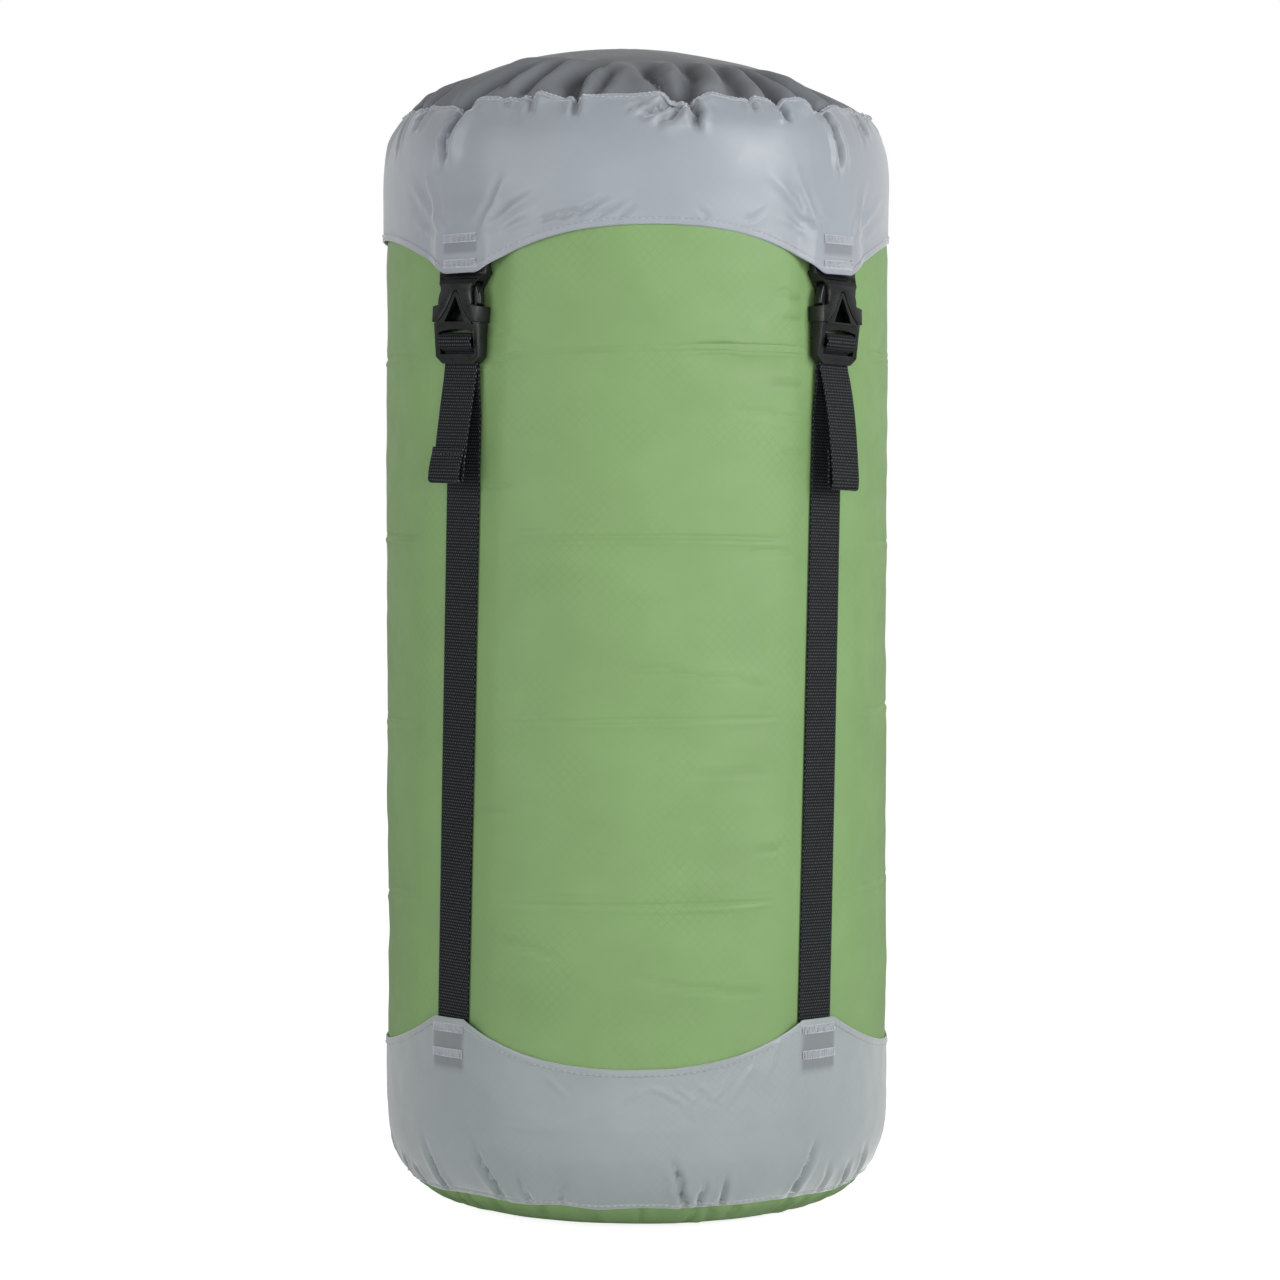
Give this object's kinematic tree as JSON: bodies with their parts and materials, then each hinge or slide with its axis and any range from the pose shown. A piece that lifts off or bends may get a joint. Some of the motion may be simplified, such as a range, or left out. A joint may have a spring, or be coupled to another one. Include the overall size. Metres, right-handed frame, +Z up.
{
  "type": "stuff sack",
  "caption": "Compression stuff sack with a separate lid, webbing straps with side-release buckles, a drawcord mouth under the lid and a hauling handle on the base.",
  "frame": {"origin": "middle of the base, on the surface the sack stands on", "axes": "+Z up the sack's length towards the lid, -Y towards its front, halfway between two straps"},
  "size_m": [0.23, 0.23, 0.525],
  "materials": {
    "green_ripstop": "matte",
    "grey_fabric": "satin",
    "lid_fabric": "satin",
    "black_webbing": "matte",
    "black_plastic": "satin",
    "black_cord": "matte",
    "spring_steel": "satin"
  },
  "bodies": {
    "sack": {"bottom_panel": "green_ripstop", "bottom_band": "grey_fabric", "bag_wall": "green_ripstop", "haul_handle": "black_webbing", "strap_run_1": "black_webbing", "strap_run_2": "black_webbing", "strap_run_3": "black_webbing", "strap_run_4": "black_webbing"},
    "harness": {"mouth_collar": "green_ripstop", "drawcord_hem": "green_ripstop", "drawcord": "black_cord", "cord_lock_barrel": "black_plastic", "cord_lock_spring": "spring_steel", "strap_tail_1": "black_webbing", "strap_tail_2": "black_webbing", "strap_tail_3": "black_webbing", "strap_tail_4": "black_webbing", "buckle_male_1": "black_plastic", "buckle_male_2": "black_plastic", "buckle_male_3": "black_plastic", "buckle_male_4": "black_plastic"},
    "lid": {"lid_top": "lid_fabric", "lid_skirt": "grey_fabric", "lid_tab_1": "black_webbing", "lid_tab_2": "black_webbing", "lid_tab_3": "black_webbing", "lid_tab_4": "black_webbing", "buckle_female_1": "black_plastic", "buckle_female_2": "black_plastic", "buckle_female_3": "black_plastic", "buckle_female_4": "black_plastic"},
    "lock_button": {"cord_lock_button": "black_plastic"},
    "catch_left_1": {"prong_left_1": "black_plastic"},
    "catch_right_1": {"prong_right_1": "black_plastic"},
    "catch_left_2": {"prong_left_2": "black_plastic"},
    "catch_right_2": {"prong_right_2": "black_plastic"},
    "catch_left_3": {"prong_left_3": "black_plastic"},
    "catch_right_3": {"prong_right_3": "black_plastic"},
    "catch_left_4": {"prong_left_4": "black_plastic"},
    "catch_right_4": {"prong_right_4": "black_plastic"}
  },
  "joints": [
    {"name": "cinch", "type": "slide", "parent": "sack", "child": "harness", "axis": [0, 0, 1], "range_m": [-0.2, 0.03], "deforming": ["bag_wall", "strap_run_1", "strap_run_2", "strap_run_3", "strap_run_4"]},
    {"name": "lid_lift", "type": "slide", "parent": "harness", "child": "lid", "axis": [0, 0, 1], "range_m": [0, 0.1], "deforming": ["prong_left_1", "prong_right_1", "prong_left_2", "prong_right_2", "prong_left_3", "prong_right_3", "prong_left_4", "prong_right_4"]},
    {"name": "lock_press", "type": "slide", "parent": "harness", "child": "lock_button", "axis": [0, 0, -1], "range_m": [0, 0.003], "stiffness_N_per_m": 300, "springref_m": -0.002, "deforming": ["cord_lock_spring"]},
    {"name": "squeeze_left_1", "type": "hinge", "parent": "harness", "child": "catch_left_1", "pos_m": [0.08058, -0.08386, 0.39722], "axis": [-0.7475, 0.6633, -0.0349], "range_deg": [0, 12], "stiffness_Nm_per_rad": 0.1, "springref_deg": -2.86},
    {"name": "squeeze_right_1", "type": "hinge", "parent": "harness", "child": "catch_right_1", "pos_m": [0.09346, -0.06937, 0.39664], "axis": [-0.7475, 0.6633, -0.0349], "range_deg": [-12, 0], "stiffness_Nm_per_rad": 0.1, "springref_deg": 2.86},
    {"name": "squeeze_left_2", "type": "hinge", "parent": "harness", "child": "catch_left_2", "pos_m": [0.08386, 0.08058, 0.39722], "axis": [-0.6633, -0.7475, -0.0349], "range_deg": [0, 12], "stiffness_Nm_per_rad": 0.1, "springref_deg": -2.86},
    {"name": "squeeze_right_2", "type": "hinge", "parent": "harness", "child": "catch_right_2", "pos_m": [0.06937, 0.09346, 0.39664], "axis": [-0.6633, -0.7475, -0.0349], "range_deg": [-12, 0], "stiffness_Nm_per_rad": 0.1, "springref_deg": 2.86},
    {"name": "squeeze_left_3", "type": "hinge", "parent": "harness", "child": "catch_left_3", "pos_m": [-0.08058, 0.08386, 0.39722], "axis": [0.7475, -0.6633, -0.0349], "range_deg": [0, 12], "stiffness_Nm_per_rad": 0.1, "springref_deg": -2.86},
    {"name": "squeeze_right_3", "type": "hinge", "parent": "harness", "child": "catch_right_3", "pos_m": [-0.09346, 0.06937, 0.39664], "axis": [0.7475, -0.6633, -0.0349], "range_deg": [-12, 0], "stiffness_Nm_per_rad": 0.1, "springref_deg": 2.86},
    {"name": "squeeze_left_4", "type": "hinge", "parent": "harness", "child": "catch_left_4", "pos_m": [-0.08386, -0.08058, 0.39722], "axis": [0.6633, 0.7475, -0.0349], "range_deg": [0, 12], "stiffness_Nm_per_rad": 0.1, "springref_deg": -2.86},
    {"name": "squeeze_right_4", "type": "hinge", "parent": "harness", "child": "catch_right_4", "pos_m": [-0.06937, -0.09346, 0.39664], "axis": [0.6633, 0.7475, -0.0349], "range_deg": [-12, 0], "stiffness_Nm_per_rad": 0.1, "springref_deg": 2.86}
  ],
  "couplings": [
    {"joint": "squeeze_right_1", "follows": "squeeze_left_1", "ratio": -1},
    {"joint": "squeeze_right_2", "follows": "squeeze_left_2", "ratio": -1},
    {"joint": "squeeze_right_3", "follows": "squeeze_left_3", "ratio": -1},
    {"joint": "squeeze_right_4", "follows": "squeeze_left_4", "ratio": -1}
  ]
}
